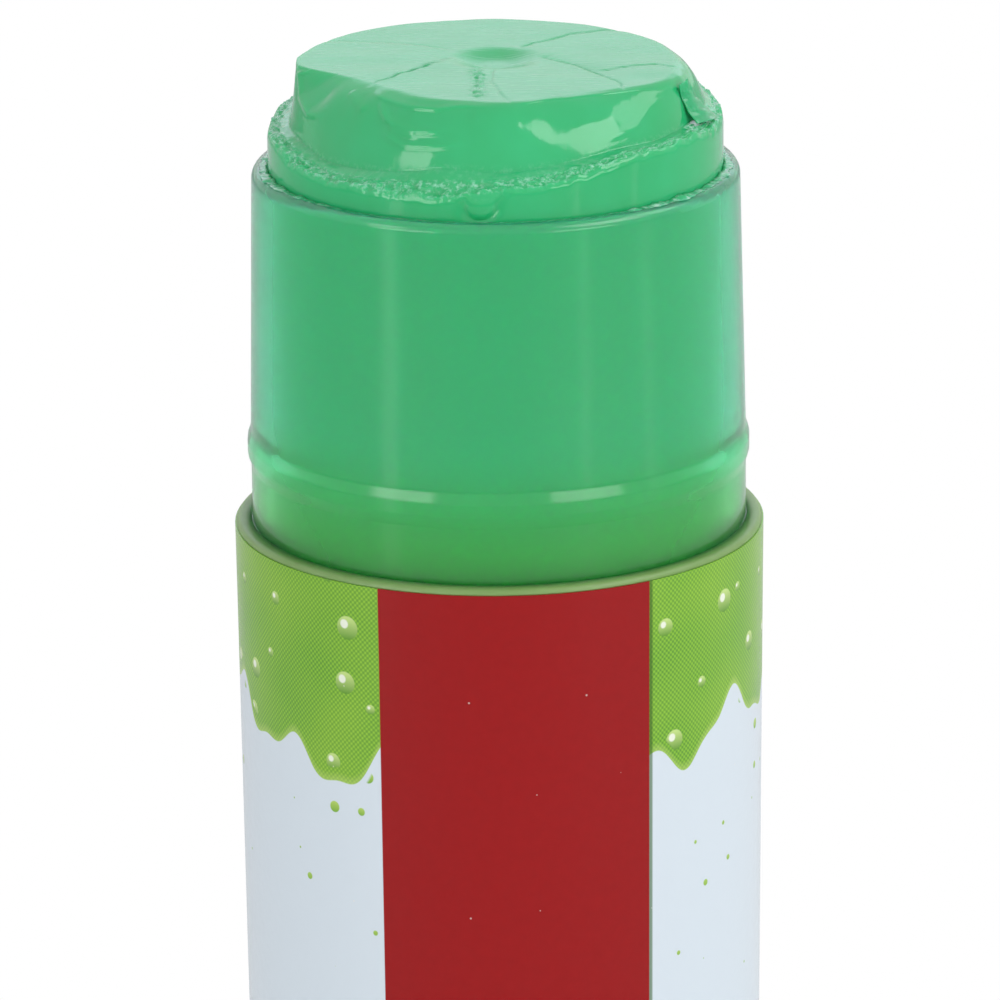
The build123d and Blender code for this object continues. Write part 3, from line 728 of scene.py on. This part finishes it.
# the film's overlap at the back, a step of one film's thickness with a thin grey line
seam = addNode(tree, "Math", [np.pi * label["radius"], addNode(tree, "Math", [arc], operation="ABSOLUTE")],
    operation="SUBTRACT")
ground = addNode(tree, "Mix", [addNode(tree, "Math", [addNode(tree, "MapRange", [seam, 0.10, 0.02]), 0.6],
    operation="MULTIPLY"), ground, linear(label["seam"])], data_type="RGBA")
plug(shader, {"Base Color": ground})
peel = addNode(tree, "TexNoise", {"Vector": place, "Scale": label["peel"], "Detail": 3.0})
overlap = addNode(tree, "Math", [addNode(tree, "MapRange",
    [arc, np.pi * label["radius"] - 0.15, np.pi * label["radius"]]), 4.0], operation="MULTIPLY")
skin = addNode(tree, "Bump", {"Height": addNode(tree, "Math", [peel, overlap], operation="ADD"),
    "Distance": label["peelDepth"] * mm})
plug(shader, {"Normal": skin})
rough = dict(zip(("To Min", "To Max"), label["roughnessSpan"]), Value=inkCloud)
rough = addNode(tree, "MapRange", rough)
plug(shader, {"Roughness": rough})
wear(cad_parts["label"], labelFilm)
print("label printed")


# Floor, light and camera

studio = dict(
    floorSize=6000.0, worldLight=0.43, paperGlow=1.0, paperMirror=0.1,
    keyWatts=1.05, keyLeftWatts=0.34, sideKeyWatts=0.40, boxWatts=0.26, backWatts=0.38, stripWatts=0.010,
)


def whiteToEye(tree, straight=1.0, mirrored=1.0):
    # how much of pure white the camera sees straight or through glass, and how much in a reflection
    path = addNode(tree, "LightPath")
    eye = addNode(tree, "Math", [path.outputs["Is Camera Ray"], path.outputs["Is Transmission Ray"]],
        operation="MAXIMUM")
    mirror = addNode(tree, "Math", [path.outputs["Is Glossy Ray"], mirrored], operation="MULTIPLY")
    return addNode(tree, "Math", [addNode(tree, "Math", [eye, straight], operation="MULTIPLY"), mirror],
        operation="MAXIMUM")


world = bpy.data.worlds.new("white studio")
bpy.context.scene.world = world
world.use_nodes = True
tree = world.node_tree
tree.nodes.clear()
ambient = addNode(tree, "Background", {"Color": (1, 1, 1, 1), "Strength": studio["worldLight"]})
white = addNode(tree, "Background", {"Color": (1, 1, 1, 1), "Strength": 1.0})
mix = addNode(tree, "MixShader", [whiteToEye(tree), ambient, white])
addNode(tree, "OutputWorld", {"Surface": mix})

half = studio["floorSize"] / 2
floorMesh = bpy.data.meshes.new("floor")
floorCorners = [(x * half * mm, y * half * mm, 0) for x, y in ((-1, -1), (1, -1), (1, 1), (-1, 1))]
floorMesh.from_pydata(floorCorners, [], [(0, 1, 2, 3)])
floor = bpy.data.objects.new("floor", floorMesh)
bpy.context.scene.collection.objects.link(floor)
floorPaper = bpy.data.materials.new("white seamless paper")
floorPaper.use_nodes = True
tree = floorPaper.node_tree
tree.nodes.clear()
paper = addNode(tree, "BsdfDiffuse", {"Color": (0.9, 0.9, 0.9, 1)})
glow = addNode(tree, "Emission", {"Color": (1, 1, 1, 1), "Strength": 1.0})
share = whiteToEye(tree, studio["paperGlow"], studio["paperMirror"])
mix = addNode(tree, "MixShader", [share, paper, glow])
addNode(tree, "OutputMaterial", {"Surface": mix})
floorMesh.materials.append(floorPaper)


def areaLight(name, azimuth, elevation, distance, width, height, watts, aim=(0, 0, 80), colour="#ffffff"):
    # a soft box on a ring round the stick; the azimuth runs from the front to the right, in degrees
    a, e = np.radians(azimuth), np.radians(elevation)
    aim = Vector(aim) * mm
    place = aim + Vector((np.sin(a) * np.cos(e), -np.cos(a) * np.cos(e), np.sin(e))) * distance * mm
    data = bpy.data.lights.new(name, "AREA")
    data.shape, data.size, data.size_y, data.energy = "RECTANGLE", width * mm, height * mm, watts
    data.color = linear(colour)[:3]
    light = bpy.data.objects.new(name, data)
    light.matrix_world = Matrix.Translation(place) @ (place - aim).to_track_quat("Z",
        "Y").to_matrix().to_4x4()
    light.visible_camera = False
    bpy.context.scene.collection.objects.link(light)


# each lamp: azimuth and elevation in degrees, distance, width and height in mm, and watts
areaLight("key", 62, 45, 600, 320, 280, studio["keyWatts"])
areaLight("side key", 104, 45, 600, 240, 250, studio["sideKeyWatts"])
areaLight("key left", -56, 33, 600, 190, 170, studio["keyLeftWatts"])
areaLight("box left", -44, 12, 400, 207, 127, studio["boxWatts"])
areaLight("box right", 40, 12, 400, 230, 127, studio["boxWatts"])
areaLight("box behind", 180, 22, 700, 620, 260, studio["backWatts"], colour="#d3e1ff")
areaLight("strip left", -50, -8, 260, 34, 200, studio["stripWatts"] * 1.6)
areaLight("strip right", 40, -8, 260, 16, 200, studio["stripWatts"] * 0.6)
areaLight("strip far right", 72, -8, 260, 22, 200, studio["stripWatts"] * 0.6)

# The camera as fitted to the label's edge, the rim and the silhouettes of the photograph.
view = dict(lens=270.0, pitch=17.03, roll=-0.60, distance=425.7, target=(0.047, 0.0, 72.65))
pitch, roll = np.radians(view["pitch"]), np.radians(view["roll"])
forward = Vector((0, np.cos(pitch), -np.sin(pitch)))
side, up = Vector((1, 0, 0)), Vector((0, np.sin(pitch), np.cos(pitch)))
right = side * np.cos(roll) + up * np.sin(roll)
upward = up * np.cos(roll) - side * np.sin(roll)
cameraData = bpy.data.cameras.new("camera")
cameraData.lens, cameraData.sensor_width, cameraData.clip_start = view["lens"], 36, 0.01
camera = bpy.data.objects.new("camera", cameraData)
place = Vector(view["target"]) * mm - forward * view["distance"] * mm
turn = Matrix((right, upward, -forward)).transposed().to_4x4()
camera.matrix_world = Matrix.Translation(place) @ turn
bpy.context.scene.collection.objects.link(camera)
bpy.context.scene.camera = camera
bpy.context.scene.view_settings.view_transform = "Standard"

print("scene ready")
